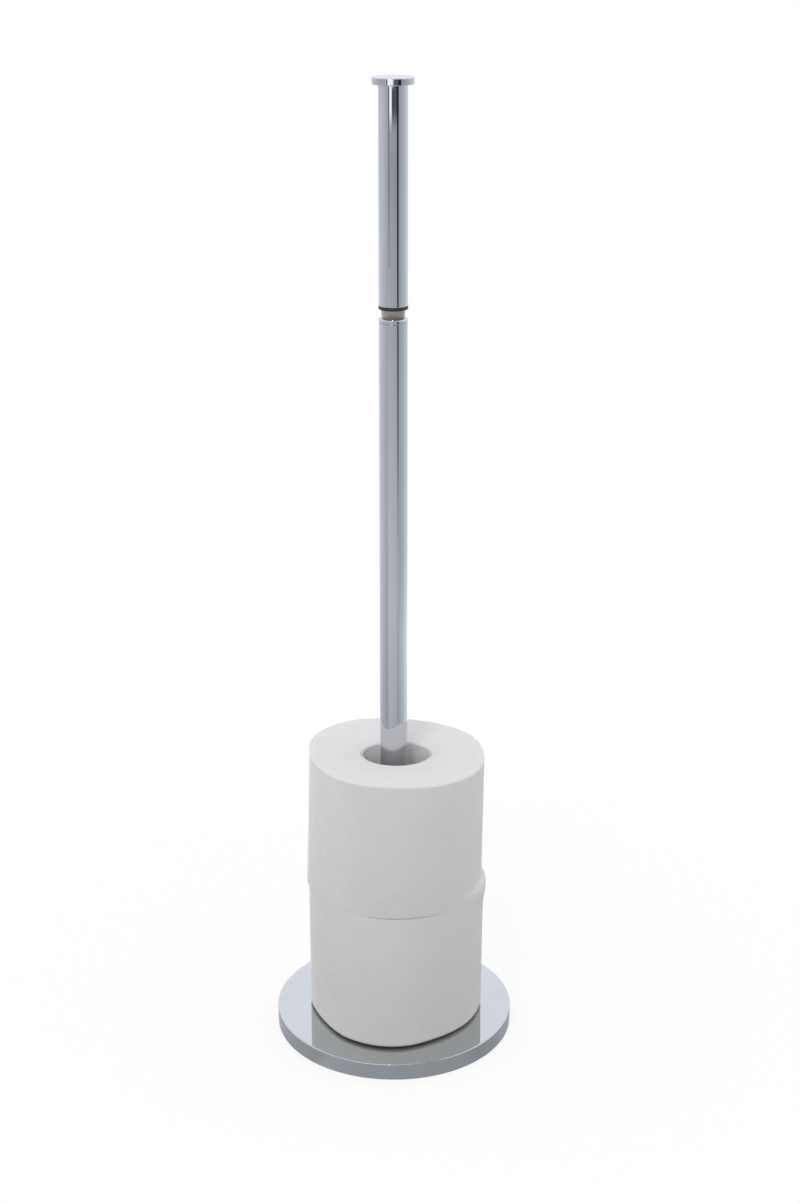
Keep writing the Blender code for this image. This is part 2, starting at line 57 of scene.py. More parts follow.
def addNode(tree, kind, inputs=None, **settings):
    node = tree.nodes.new(kind)
    count = len(tree.nodes)
    setAll(node, location=(220 * (count // 5), -190 * (count % 5)), **settings)
    for name, value in (inputs or {}).items():
        plug(node.inputs[name], value)
    return node


def plug(socket, value):
    if isinstance(value, bpy.types.NodeSocket):
        socket.id_data.links.new(value, socket)
    else:
        socket.default_value = value


# The new node goes into the tree of the sockets that feed it
def feed(kind, inputs, **settings):
    tree = next(value.id_data for value in inputs.values() if isinstance(value, bpy.types.NodeSocket))
    return addNode(tree, kind, inputs, **settings).outputs


def nodeOut(kind, inputs, **settings):
    return feed(kind, inputs, **settings)[0]


def calc(operation, *values):
    return nodeOut("ShaderNodeMath", dict(enumerate(values)), operation=operation)


def times(first, *others):
    for other in others:
        first = calc("MULTIPLY", first, other)
    return first


def plus(first, *others):
    for other in others:
        first = calc("ADD", first, other)
    return first


def minus(first, second):
    return calc("SUBTRACT", first, second)


def vectorCalc(operation, *values):
    made = feed("ShaderNodeVectorMath", dict(enumerate(values)), operation=operation)
    return made["Value" if operation == "LENGTH" else "Vector"]


def scaleVector(vector, scale):
    return nodeOut("ShaderNodeVectorMath", {0: vector, "Scale": scale}, operation="SCALE")


def mixValue(factor, low, high):
    return nodeOut("ShaderNodeMix", {0: factor, 2: low, 3: high}, data_type="FLOAT")


def mixColor(factor, low, high, blend="MIX"):
    return feed("ShaderNodeMix", {0: factor, 6: low, 7: high}, data_type="RGBA", blend_type=blend)[2]


def shareOf(value, start, end, **settings):
    return nodeOut("ShaderNodeMapRange", {"Value": value, "From Min": start, "From Max": end}, **settings)


def smoothStep(value, start, end):
    return shareOf(value, start, end, interpolation_type="SMOOTHSTEP")


def combine(x=0.0, y=0.0, z=0.0):
    return nodeOut("ShaderNodeCombineXYZ", {"X": x, "Y": y, "Z": z})


def separate(vector):
    return tuple(feed("ShaderNodeSeparateXYZ", {"Vector": vector}))


def objectPlace(tree):
    return addNode(tree, "ShaderNodeTexCoord").outputs["Object"]


def addNoise(dimensions="3D", **inputs):
    return nodeOut("ShaderNodeTexNoise", inputs, noise_dimensions=dimensions)


# A float curve through the spots, straight between them unless it is smooth
def addCurve(value, spots, smooth):
    made = nodeOut("ShaderNodeFloatCurve", {"Value": value})
    points = made.node.mapping.curves[0].points
    points[0].location = spots[0]
    points[1].location = spots[-1]
    for spot in spots[1:-1]:
        points.new(*spot)
    if not smooth:
        for point in points:
            point.handle_type = "VECTOR"
    made.node.mapping.update()
    return made


# The kind of an input follows from the value that it starts with; None stands for geometry
def socketKind(value):
    if value is None:
        return "Geometry"
    if isinstance(value, bpy.types.Material):
        return "Material"
    if isinstance(value, tuple):
        return "Vector" if len(value) == 3 else "Color"
    return "Int" if isinstance(value, int) else "Float"


def newTree(name, treeKind, inputs, outputs):
    tree = bpy.data.node_groups.new(name, treeKind)
    for title, value in inputs.items():
        kind = socketKind(value)
        socket = tree.interface.new_socket(title, in_out="INPUT", socket_type="NodeSocket" + kind)
        if kind not in ("Geometry", "Material"):
            socket.default_value = value
    for title, kind in outputs.items():
        tree.interface.new_socket(title, in_out="OUTPUT", socket_type="NodeSocket" + kind)
    return tree, tree.nodes.new("NodeGroupInput").outputs, tree.nodes.new("NodeGroupOutput").inputs


# Shared surface effects, one node group each

hazeSizes = {"limits": (0.42, 0.72), "distortion": 0.6, "fineScale": 14.0, "fineShare": 0.7}


# Soft blotches that raise the roughness: polishing haze, finger marks, dust
def makeHazeGroup():
    tree, given, made = newTree("polishHaze", "ShaderNodeTree", {
        "Vector": (0.0, 0.0, 0.0), "Scale": 30.0, "Smooth": 0.04, "Hazy": 0.1}, {"Roughness": "Float", "Mask": "Float"})
    where, scale, fineShare = given["Vector"], given["Scale"], hazeSizes["fineShare"]
    broad = addNoise(Vector=where, Scale=scale, Detail=3.0, Distortion=hazeSizes["distortion"])
    fine = addNoise(Vector=where, Scale=times(scale, hazeSizes["fineScale"]), Detail=2.0)
    speckle = plus(times(fine, fineShare), 1 - fineShare)
    mask = times(smoothStep(broad, *hazeSizes["limits"]), speckle)
    plug(made["Mask"], mask)
    plug(made["Roughness"], mixValue(mask, given["Smooth"], given["Hazy"]))
    return tree


mottleSizes = {"detail": 5.0, "roughness": 0.6, "steepness": 4.0}


# Two tones mixed by a cloudy noise, for cast, moulded and pulped surfaces
def makeMottleGroup():
    tree, given, made = newTree("mottle", "ShaderNodeTree", {
        "Vector": (0.0, 0.0, 0.0), "Scale": 60.0, "Contrast": 0.5,
        "Light": (0.8, 0.8, 0.8, 1), "Dark": (0.7, 0.7, 0.7, 1)}, {"Color": "Color"})
    noise = addNoise(Vector=given["Vector"], Scale=given["Scale"], Detail=mottleSizes["detail"],
                     Roughness=mottleSizes["roughness"])
    slope = times(given["Contrast"], mottleSizes["steepness"])
    spread = calc("MULTIPLY_ADD", minus(noise, 0.5), slope, 0.5)
    mask = calc("MINIMUM", calc("MAXIMUM", spread, 0.0), 1.0)
    plug(made["Color"], mixColor(mask, given["Dark"], given["Light"]))
    return tree


# Fine relief that can be drawn out along one way: crepe, milling marks, casting skin
def makeGrainGroup():
    tree, given, made = newTree("fineGrain", "ShaderNodeTree", {
        "Vector": (0.0, 0.0, 0.0), "Stretch": (1.0, 1.0, 1.0), "Scale": 900.0, "Detail": 3.0}, {"Height": "Float"})
    stretched = vectorCalc("MULTIPLY", given["Vector"], given["Stretch"])
    plug(made["Height"], addNoise(Vector=stretched, Scale=given["Scale"], Detail=given["Detail"], Roughness=0.55))
    return tree


hazeGroup = makeHazeGroup()
mottleGroup = makeMottleGroup()
grainGroup = makeGrainGroup()


def useGroup(group, **inputs):
    return feed("ShaderNodeGroup", inputs, node_tree=group)


def shaded(color, share=1.0):
    return (*(part * share for part in color), 1)


def newMaterial(name, **fixed):
    material = bpy.data.materials.new(name)
    material.use_nodes = True
    tree = material.node_tree
    surface = tree.nodes["Principled BSDF"].inputs
    for socket, value in fixed.items():
        surface[socket.replace("_", " ")].default_value = value
    return material, surface, objectPlace(tree)


def addMottle(where, scale, contrast, light, dark):
    return useGroup(mottleGroup, Vector=where, Scale=scale, Contrast=contrast, Light=light, Dark=dark)["Color"]


def addHaze(surface, where, scale, smooth, hazy):
    haze = useGroup(hazeGroup, Vector=where, Scale=scale, Smooth=smooth, Hazy=hazy)
    plug(surface["Roughness"], haze["Roughness"])
    return haze["Mask"]


def addBump(surface, height, depth, under=None):
    below = {} if under is None else {"Normal": under}
    bump = nodeOut("ShaderNodeBump", {"Height": height, "Distance": depth, **below})
    plug(surface["Normal"], bump)
    return bump


def addRelief(surface, where, scale, detail, depth, stretch=(1.0, 1.0, 1.0), under=None):
    grain = useGroup(grainGroup, Vector=where, Stretch=stretch, Scale=scale, Detail=detail)
    return addBump(surface, grain["Height"], depth, under)


tubeTone = (0.597, 0.611, 0.643)
chromeLooks = {
    "coverChrome": {"color": (0.6, 0.622, 0.632), "smooth": 0.03, "hazy": 0.055, "wave": 0.0006 * mm},
    "tubeChrome": {"color": tubeTone, "smooth": 0.018, "hazy": 0.04, "wave": 0.0008 * mm},
    "capChrome": {"color": tubeTone, "smooth": 0.015, "hazy": 0.035, "wave": 0.0008 * mm},
}


# Bright chrome: a cool mirror with the faint waviness of plating over polished steel
def makeChrome(name, color, smooth, hazy, wave):
    material, surface, where = newMaterial(name, Metallic=1.0)
    mask = addHaze(surface, where, scale=26.0, smooth=smooth, hazy=hazy)
    plug(surface["Base Color"], mixColor(mask, shaded(color), shaded(color, 0.97)))
    addRelief(surface, where, scale=420.0, detail=1.0, depth=wave)
    return material


steel = {"mottle": (260.0, 0.35), "relief": (2200.0, 2.0, 0.04 * mm), "metallic": 1.0}
moulded = {"mottle": (210.0, 0.4)}  # a little dusty, with a soft shine

# "mottle" is scale and contrast, "haze" scale and both ends of the roughness, "relief" scale, detail and depth
mottledLooks = {
    "milledZinc": {  # die-cast, milled on its flats and left unplated
        "light": (0.6, 0.565, 0.5), "dark": (0.42, 0.41, 0.36), "mottle": (420.0, 0.45), "haze": (160.0, 0.42, 0.6),
        "relief": (2600.0, 3.0, 0.06 * mm), "stretch": (0.12, 1.0, 1.0), "metallic": 0.75},
    "pinSteel": {"light": (0.52, 0.52, 0.53), "dark": (0.416, 0.416, 0.424), "haze": (180.0, 0.3, 0.45),
                 "stretch": (0.2, 1.0, 1.0), **steel},
    "springSteel": {"light": (0.4, 0.4, 0.42), "dark": (0.32, 0.32, 0.336), "haze": (180.0, 0.28, 0.42), **steel},
    "screwSteel": {"light": (0.2, 0.2, 0.21), "dark": (0.16, 0.16, 0.168), "haze": (180.0, 0.42, 0.63),
                   "stretch": (1.0, 1.0, 0.2), **steel},
    "castIron": {  # sand-cast, with its rough skin
        "light": (0.12, 0.118, 0.115), "dark": (0.055, 0.052, 0.05), "mottle": (140.0, 0.6),
        "haze": (90.0, 0.68, 0.9), "relief": (1100.0, 4.0, 0.22 * mm), "metallic": 0.6},
    "ringBlack": {"light": (0.035, 0.029, 0.038), "dark": (0.018, 0.015, 0.02), "haze": (150.0, 0.34, 0.5),
                  "relief": (2400.0, 2.0, 0.02 * mm), **moulded},
    "padRubber": {"light": (0.03, 0.03, 0.03), "dark": (0.016, 0.016, 0.016), "haze": (150.0, 0.75, 0.92),
                  "relief": (2400.0, 2.0, 0.08 * mm), **moulded},
    "plugNylon": {"light": (0.8, 0.79, 0.74), "dark": (0.72, 0.7, 0.64), "haze": (150.0, 0.4, 0.55),
                  "relief": (2400.0, 2.0, 0.03 * mm), **moulded},
}


def makeMottled(name, light, dark, mottle, haze, relief, metallic=0.0, stretch=(1.0, 1.0, 1.0)):
    material, surface, where = newMaterial(name, Metallic=metallic)
    plug(surface["Base Color"], addMottle(where, *mottle, shaded(light), shaded(dark)))
    addHaze(surface, where, *haze)
    addRelief(surface, where, *relief, stretch)
    return material


paperLooks = {
    "side": (0.826, 0.824, 0.825), "sideShade": 0.955, "sideFibres": (1500.0, 0.93),
    "end": (0.805, 0.799, 0.816), "endShade": 0.93, "endFibres": (900.0, 0.94),
    "layers": 120, "coarseLayers": 0.35, "coarseShare": 0.6, "wander": 0.012, "ringLimits": (0.3, 0.62),
}


# Loose fibres darken the paper's tone in places
def addFibres(surface, where, tone, scale, darkest):
    fibres = addMottle(where, scale, contrast=0.5, light=white, dark=(darkest, darkest, darkest, 1))
    plug(surface["Base Color"], mixColor(1.0, tone, fibres, "MULTIPLY"))


# Side of a roll: crepe ridges that run up the roll, over a soft unevenness
def makeTissueSide():
    material, surface, where = newMaterial(
        "tissueSide", Roughness=0.95, Sheen_Weight=0.8, Sheen_Roughness=0.4, Specular_IOR_Level=0.15)
    color = paperLooks["side"]
    tone = addMottle(where, scale=46.0, contrast=0.32, light=shaded(color), dark=shaded(color, paperLooks["sideShade"]))
    addFibres(surface, where, tone, *paperLooks["sideFibres"])
    under = addRelief(surface, where, scale=2300.0, detail=3.0, depth=0.09 * mm, stretch=(1.0, 1.0, 0.16))
    addRelief(surface, where, scale=150.0, detail=2.0, depth=0.42 * mm, stretch=(1.0, 1.0, 0.7), under=under)
    return material


# End of a roll: the cut edges of the windings, which follow the layer attribute from core to outside
def makeTissueEnd():
    material, surface, where = newMaterial(
        "tissueEnd", Roughness=0.97, Sheen_Weight=0.1, Sheen_Roughness=0.6, Specular_IOR_Level=0.12)
    color, layers, coarseShare = paperLooks["end"], paperLooks["layers"], paperLooks["coarseShare"]
    layer = addNode(material.node_tree, "ShaderNodeAttribute", attribute_name="layer").outputs["Fac"]
    wander = addNoise(Vector=where, Scale=32.0, Detail=2.0)
    run = calc("MULTIPLY_ADD", wander, paperLooks["wander"], layer)
    coarse = addNoise("1D", W=times(run, layers * paperLooks["coarseLayers"]), Detail=3.0, Scale=1.0, Roughness=0.7)
    windings = addNoise("1D", W=times(run, layers), Detail=1.0, Scale=1.0)
    ringMask = plus(times(coarse, coarseShare), times(windings, 1 - coarseShare))
    rings = mixColor(smoothStep(ringMask, *paperLooks["ringLimits"]),
                     shaded(color, paperLooks["endShade"]), shaded(color))
    addFibres(surface, where, rings, *paperLooks["endFibres"])
    under = addBump(surface, ringMask, 0.22 * mm)
    addRelief(surface, where, scale=1300.0, detail=3.0, depth=0.12 * mm, under=under)
    return material


# Board tones much paler than real grey board: painted light for the shaded inside of the bore
boardLooksWithPaintedLight = {"light": (0.88, 0.876, 0.873), "dark": (0.745, 0.741, 0.738), "seam": (0.7, 0.696, 0.69),
              "pitch": 58 * mm, "seamWidth": 0.012}


# Grey board wound on a slant: each ply's edge shows as a fine spiral step. Its tones are set far paler than grey board,
# as painted light for the dim inside of the bore
def makeCoreBoard():
    material, surface, where = newMaterial("coreBoard", Roughness=0.9, Specular_IOR_Level=0.2)
    tone = addMottle(where, scale=520.0, contrast=0.5, light=shaded(boardLooksWithPaintedLight["light"]),
                     dark=shaded(boardLooksWithPaintedLight["dark"]))
    x, y, z = separate(where)
    turn = calc("DIVIDE", calc("ARCTAN2", y, x), math.tau)
    saw = calc("FRACT", plus(turn, calc("DIVIDE", z, boardLooksWithPaintedLight["pitch"])))
    ply = smoothStep(calc("ABSOLUTE", minus(saw, 0.5)), 0.0, boardLooksWithPaintedLight["seamWidth"])
    plug(surface["Base Color"], mixColor(minus(1.0, ply), tone, shaded(boardLooksWithPaintedLight["seam"])))
    under = addBump(surface, ply, 0.1 * mm)
    addRelief(surface, where, scale=1700.0, detail=3.0, depth=0.07 * mm, stretch=(1.0, 1.0, 0.4), under=under)
    return material


finishes = {name: makeChrome(name, **look) for name, look in chromeLooks.items()}
finishes.update({name: makeMottled(name, **look) for name, look in mottledLooks.items()})
finishes.update({"tissueSide": makeTissueSide(), "tissueEnd": makeTissueEnd(), "coreBoard": makeCoreBoard()})
print("finishes made:", len(finishes))


# Geometry Nodes: one tree turns a drawn outline about the post's axis

turning = {"Start Radius": 1 * mm, "Weld Distance": 0.001 * mm}


def newGeometryTree(name, inputs):
    return newTree(name, "GeometryNodeTree", {"Geometry": None, **inputs}, {"Geometry": "Geometry"})


def dress(geometry, finish):
    whole = nodeOut("GeometryNodeRealizeInstances", {0: geometry})
    return nodeOut("GeometryNodeSetMaterial", {"Geometry": whole, "Material": finish})


# The outline lies in the XZ plane; the sweep starts from a small circle, so it is moved in by that much
def addTurning(take):
    drawn = nodeOut("GeometryNodeMeshToCurve", {"Mesh": take["Geometry"]})
    shift = combine(times(take["Start Radius"], -1.0))
    laid = nodeOut("GeometryNodeTransform", {
        "Geometry": drawn, "Translation": shift, "Rotation": (math.pi / 2, 0.0, 0.0)})
    path = nodeOut("GeometryNodeCurvePrimitiveCircle", {"Resolution": take["Sides"], "Radius": take["Start Radius"]})
    upright = nodeOut("GeometryNodeSetCurveNormal", {"Curve": path}, mode="Z_UP")
    swept = nodeOut("GeometryNodeCurveToMesh", {"Curve": upright, "Profile Curve": laid})
    return nodeOut("GeometryNodeMergeByDistance", {"Geometry": swept, "Distance": take["Weld Distance"]})


turningTree, take, made = newGeometryTree("turnedPiece", {"Sides": 128, **turning, "Finish": finishes["tubeChrome"]})
plug(made["Geometry"], dress(addTurning(take), take["Finish"]))


def linkObject(name, data):
    thing = bpy.data.objects.new(name, data)
    bpy.context.scene.collection.objects.link(thing)
    return thing


def bakeMesh(thing):
    depsgraph = bpy.context.evaluated_depsgraph_get()
    return bpy.data.meshes.new_from_object(
        thing.evaluated_get(depsgraph), preserve_all_data_layers=True, depsgraph=depsgraph)


# Runs a tree on a drawn outline and returns the plain mesh object it makes
def growPiece(name, points, tree, inputs, closed=True):
    outline = bpy.data.meshes.new(name + "Outline")
    count = len(points)
    edges = [(index, (index + 1) % count) for index in range(count if closed else count - 1)]
    outline.from_pydata([(x, 0, z) for x, z in points], edges, [])
    holder = linkObject(name + "Outline", outline)
    modifier = holder.modifiers.new("grow", "NODES")
    modifier.node_group = tree
    identifiers = {item.name: item.identifier for item in tree.interface.items_tree if item.in_out == "INPUT"}
    for title, value in inputs.items():
        modifier[identifiers[title]] = value
    grown = bakeMesh(holder)
    bpy.data.objects.remove(holder)
    bpy.data.meshes.remove(outline)
    grown.name = name
    shape = bmesh.new()
    shape.from_mesh(grown)
    bmesh.ops.recalc_face_normals(shape, faces=shape.faces)
    shape.to_mesh(grown)
    shape.free()
    return linkObject(name, grown)


# Corners are (across, up, radius) in metres; a radius above zero becomes an arc
def roundedOutline(corners, steps):
    points = []
    for index, (across, up, radius) in enumerate(corners):
        corner = Vector((across, up))
        if radius <= 0:
            points.append((across, up))
            continue
        toLast, toNext = (
            (Vector(corners[other % len(corners)][:2]) - corner).normalized() for other in (index - 1, index + 1))
        half = toLast.angle(toNext) / 2
        centre = corner + (toLast + toNext).normalized() * radius / math.sin(half)
        start, end = (corner + way * radius / math.tan(half) - centre for way in (toLast, toNext))
        sweep = start.angle(end)
        for step in range(steps + 1):
            share = step / steps
            arm = (start * math.sin((1 - share) * sweep) + end * math.sin(share * sweep)) / math.sin(sweep)
            points.append(tuple(centre + arm))
    return points


def between(start, end, share):
    return tuple(first + (last - first) * share for first, last in zip(start, end))


# Splits long straight runs, so that a soft piece can bend there
def splitRuns(points, longest):
    split = []
    for index, point in enumerate(points):
        following = points[(index + 1) % len(points)]
        parts = max(1, math.ceil(math.dist(point, following) / longest))
        split += [between(point, following, part / parts) for part in range(parts)]
    return split


# Holding points near both ends of each straight run keep its shading flat
def holdRuns(points, closed, margin=0.2 * mm):
    held = []
    for index, point in enumerate(points):
        held.append(point)
        following = points[(index + 1) % len(points)]
        run = math.dist(point, following)
        if run > 4 * margin and (closed or index + 1 < len(points)):
            held += [between(point, following, share) for share in (margin / run, 1 - margin / run)]
    return held


def turnPiece(name, corners, finish, sides=128, closed=True, steps=8):
    points = holdRuns(roundedOutline(corners, steps), closed)
    return growPiece(name, points, turningTree, {"Sides": sides, **turning, "Finish": finishes[finish]}, closed)


def linkShape(name, shape):
    mesh = bpy.data.meshes.new(name)
    shape.to_mesh(mesh)
    shape.free()
    return linkObject(name, mesh)


# Cutters are only used while a piece is made, and cutPiece removes them
def prism(points, depth):
    shape = bmesh.new()
    face = shape.faces.new([shape.verts.new(point) for point in points])
    extruded = bmesh.ops.extrude_face_region(shape, geom=[face])["geom"]
    moved = [item for item in extruded if isinstance(item, bmesh.types.BMVert)]
    bmesh.ops.translate(shape, verts=moved, vec=depth)
    bmesh.ops.recalc_face_normals(shape, faces=shape.faces)
    return linkShape("cutter", shape)


def crossBar(radius, start, end, axis, centre):
    shape = bmesh.new()
    bmesh.ops.create_cone(shape, cap_ends=True, segments=48, radius1=radius, radius2=radius, depth=end - start)
    turn = Matrix.Rotation(math.pi / 2, 4, "Y" if axis == "X" else "X")
    middle = Vector(((start + end) / 2, 0, 0)) if axis == "X" else Vector((0, (start + end) / 2, 0))
    bmesh.ops.transform(shape, matrix=Matrix.Translation(Vector(centre) + middle) @ turn, verts=shape.verts)
    return linkShape("cutter", shape)


def cutPiece(piece, cutters, bevel):
    for cutter in cutters:
        setAll(piece.modifiers.new("cut", "BOOLEAN"), operation="DIFFERENCE", solver="EXACT", object=cutter)
    setAll(piece.modifiers.new("edge", "BEVEL"), width=bevel, segments=2, limit_method="ANGLE",
           angle_limit=math.radians(40), use_clamp_overlap=True)
    cutMesh = bakeMesh(piece)
    piece.modifiers.clear()
    old = piece.data
    piece.data = cutMesh
    bpy.data.meshes.remove(old)
    cutMesh.name = piece.name
    for cutter in cutters:
        bpy.data.objects.remove(cutter)


# Smooths a piece, keeps its edges sharp and puts it in the place of its CAD node
def standIn(piece, node, body, sharpFrom=35):
    piece.data.shade_smooth()
    piece.data.set_sharp_from_angle(angle=math.radians(sharpFrom))
    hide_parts(node)
    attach(piece, body)


# Base

coverSizes = {"wall": 0.8 * mm, "edgeRound": 0.75 * mm, "innerRound": 0.3 * mm, "hem": 0.3 * mm, "hole": 3.3 * mm}


def makeBaseCover():
    low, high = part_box("base_cover")
    outer, inner = high.x, high.x - coverSizes["wall"]
    hole, hem, under = coverSizes["hole"], coverSizes["hem"], high.z - coverSizes["wall"]
    cover = turnPiece("baseCover", [
        (inner, low.z, hem), (outer, low.z, hem), (outer, high.z, coverSizes["edgeRound"]), (hole, high.z, 0),
        (hole, under, 0), (inner, under, coverSizes["innerRound"])], "coverChrome", sides=288)
    standIn(cover, "base_cover", "stand")


padSizes = {"grooves": 9, "grooveWidth": 2.2 * mm, "grooveDepth": 0.7 * mm, "slant": 0.28 * mm,
            "firstRadius": 14 * mm, "rim": 6 * mm, "edge": 0.5 * mm}


# The pad's underside has turned grip rings
def makeBasePad():
    low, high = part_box("base_pad")
    half, top, slant = padSizes["grooveWidth"] / 2, low.z + padSizes["grooveDepth"], padSizes["slant"]
    step = (high.x - padSizes["rim"] - padSizes["firstRadius"]) / (padSizes["grooves"] - 1)
    corners = [(0, low.z, 0)]
    for groove in range(padSizes["grooves"]):
        middle = padSizes["firstRadius"] + step * groove
        corners += [(middle - half, low.z, 0), (middle - half + slant, top, 0),
                    (middle + half - slant, top, 0), (middle + half, low.z, 0)]
    corners += [(high.x, low.z, padSizes["edge"]), (high.x, high.z, 0), (0, high.z, 0)]
    pad = turnPiece("basePad", corners, "padRubber", sides=160, closed=False, steps=3)
    standIn(pad, "base_pad", "stand")


makeBaseCover()
makeBasePad()
print("base made")


# Post, its ferrule and the mouth that the tongue swings through

postSizes = {"wall": 1.2 * mm, "seatGap": 0.3 * mm, "shoulderRound": 0.35 * mm, "pinHole": 1.8 * mm,
             "ferruleWall": 0.4 * mm, "ferruleLip": 1.1 * mm, "ferruleRound": 1.0 * mm, "ferruleEdge": 0.32 * mm,
             "ferruleInside": 0.2 * mm, "ferruleLift": 0.8 * mm,
             "mouthHalf": 7.55 * mm, "mouthSide": 3.2 * mm, "mouthHeight": 40 * mm, "deburr": 0.12 * mm}
clear = 20 * mm  # cutters reach this far, past the object's skin
pivot = Vector((0, 0, (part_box("hinge_pin")[0].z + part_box("hinge_pin")[1].z) / 2))


def makeMouthCutter():
    half, side = postSizes["mouthHalf"], postSizes["mouthSide"]
    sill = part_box("brake_plug")[1].z
    plan = [(-half, 0), (half, 0), (half, side), (clear, side), (clear, clear), (-clear, clear), (-clear, side),
            (-half, side)]
    return prism([(x, y, sill) for x, y in plan], (0, 0, postSizes["mouthHeight"]))


def makePost():
    low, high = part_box("post_tube")
    ferruleLow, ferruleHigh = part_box("post_ferrule")
    outer, bore = high.x, high.x - postSizes["wall"]
    sleeve = outer - postSizes["ferruleWall"]
    neck = sleeve - postSizes["seatGap"]
    start = ferruleLow.z + postSizes["ferruleLift"]
    shoulder = start - postSizes["seatGap"]
    lip = ferruleHigh.z - postSizes["ferruleLip"]
    pinHole = crossBar(postSizes["pinHole"], -clear, clear, "X", pivot)
    post = turnPiece("postTube", [
        (bore, low.z, 0), (outer, low.z, 0), (outer, shoulder, postSizes["shoulderRound"]),
        (neck, shoulder, 0), (neck, high.z, 0), (bore, high.z, 0)], "tubeChrome")
    cutPiece(post, [makeMouthCutter(), pinHole], postSizes["deburr"])
    standIn(post, "post_tube", "stand")
    ferrule = turnPiece("postFerrule", [
        (sleeve, start, 0), (outer, start, postSizes["ferruleEdge"]),
        (outer, ferruleHigh.z, postSizes["ferruleRound"]), (bore, ferruleHigh.z, postSizes["ferruleInside"]),
        (bore, lip, 0), (sleeve, lip, 0)], "capChrome")
    cutPiece(ferrule, [makeMouthCutter()], postSizes["deburr"])
    standIn(ferrule, "post_ferrule", "stand")


pinSizes = {"dome": 0.5 * mm, "faceRise": 0.1 * mm, "faceShare": 0.7}


# The pin is turned upright, then laid along X in its mesh
def makeHingePin():
    low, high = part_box("hinge_pin")
    radius, half = (high.z - low.z) / 2, high.x
    face, flat, side = radius * pinSizes["faceShare"], half - pinSizes["faceRise"], half - pinSizes["dome"]
    pin = turnPiece("hingePin", [
        (0, -half, 0), (face, -flat, 0), (radius, -side, 0), (radius, side, 0), (face, flat, 0), (0, half, 0)],
        "pinSteel", sides=48, closed=False)
    pin.data.transform(Matrix.Translation(pivot) @ Matrix.Rotation(math.pi / 2, 4, "Y"))
    standIn(pin, "hinge_pin", "stand", 50)


makePost()
makeHingePin()
print("post and ferrule made")


# Arm: tongue, ring, tube and cap

tongueSizes = {"ballSteps": 18, "roundSteps": 32, "thickness": 8 * mm, "width": 14.5 * mm, "bevel": 0.6 * mm,
               "edge": 0.25 * mm, "screwHole": 2.3 * mm, "screwRoom": 0.3 * mm, "pinHole": 1.8 * mm}


# A bar with a ball end, cut to a flat tongue that is round about the pin
def makeTongue():
    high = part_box("hinge_tongue")[1]
    radius, bevel, half = high.x, tongueSizes["bevel"], tongueSizes["thickness"] / 2
    points = []
    for step in range(tongueSizes["ballSteps"] + 1):
        angle = math.pi / 2 * step / tongueSizes["ballSteps"]
        points.append((radius * math.sin(angle), pivot.z - radius * math.cos(angle)))
    points += [(radius, high.z - bevel), (radius - bevel, high.z), (0, high.z)]
    tongue = growPiece("hingeTongue", points, turningTree, {
        "Sides": 96, **turning, "Finish": finishes["milledZinc"]}, closed=False)
    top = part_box("arm_buffer")[0].z - postSizes["seatGap"]
    bottom = pivot.z - clear
    outline = [(-clear, top), (-clear, bottom), (clear, bottom), (clear, top), (half, top)]
    for step in range(tongueSizes["roundSteps"] + 1):
        angle = math.pi * step / tongueSizes["roundSteps"]
        outline.append((half * math.cos(angle), pivot.z - half * math.sin(angle)))
    outline.append((-half, top))
    cutters = [prism([(-clear, y, z) for y, z in outline], (2 * clear, 0, 0))]
    for sign in (-1, 1):
        edge = sign * tongueSizes["width"] / 2
        plan = [(edge, -clear), (edge, clear), (sign * clear, clear), (sign * clear, -clear)]
        cutters.append(prism([(x, y, bottom) for x, y in plan], (0, 0, top - bottom)))
    screwLow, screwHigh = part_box("tongue_set_screw")
    screwHeight = (screwLow.z + screwHigh.z) / 2
    cutters += [
        crossBar(tongueSizes["pinHole"], -clear, clear, "X", pivot),
        crossBar(tongueSizes["screwHole"], screwLow.y - tongueSizes["screwRoom"], clear, "Y", (0, 0, screwHeight))]
    cutPiece(tongue, cutters, tongueSizes["edge"])
    standIn(tongue, "hinge_tongue", "arm")
    return screwHeight, screwLow.y


ringSizes = {"floor": 1 * mm, "lipWall": 0.4 * mm, "overhang": 0.15 * mm, "underRound": 0.3 * mm,
             "topRound": 0.15 * mm, "innerRound": 0.1 * mm}


def makeArmRing():
    low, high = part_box("arm_buffer")
    outer, inner, small = high.x, high.x - ringSizes["lipWall"], ringSizes["innerRound"]
    bore = outer - ringSizes["overhang"] - postSizes["wall"]
    floorTop = low.z + ringSizes["floor"]
    ring = turnPiece("armRing", [
        (bore, low.z, small), (outer, low.z, ringSizes["underRound"]), (outer, high.z, ringSizes["topRound"]),
        (inner, high.z, small), (inner, floorTop, 0), (bore, floorTop, small)], "ringBlack", steps=4)
    standIn(ring, "arm_buffer", "arm")


tubeSizes = {"lipRoom": 0.3 * mm, "endRound": 0.15 * mm, "shoulderRound": 0.2 * mm, "deburr": 0.15 * mm}


def makeArmTube(screwHeight, screwStart):
    low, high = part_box("arm_tube")
    outer, bore, endRound = high.x, high.x - postSizes["wall"], tubeSizes["endRound"]
    turnedDown = outer + ringSizes["overhang"] - ringSizes["lipWall"] - tubeSizes["lipRoom"]
    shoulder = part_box("arm_buffer")[1].z + postSizes["seatGap"]
    tube = turnPiece("armTube", [
        (bore, low.z, 0), (turnedDown, low.z, endRound), (turnedDown, shoulder, 0),
        (outer, shoulder, tubeSizes["shoulderRound"]), (outer, high.z, endRound), (bore, high.z, 0)],
        "tubeChrome", steps=4)
    hole = crossBar(tongueSizes["screwHole"], screwStart, clear, "Y", (0, 0, screwHeight))
    cutPiece(tube, [hole], tubeSizes["deburr"])
    standIn(tube, "arm_tube", "arm")


capSizes = {"stud": 3 * mm, "studLength": 10 * mm, "topRound": 0.45 * mm, "underRound": 0.3 * mm, "bevel": 0.6 * mm}


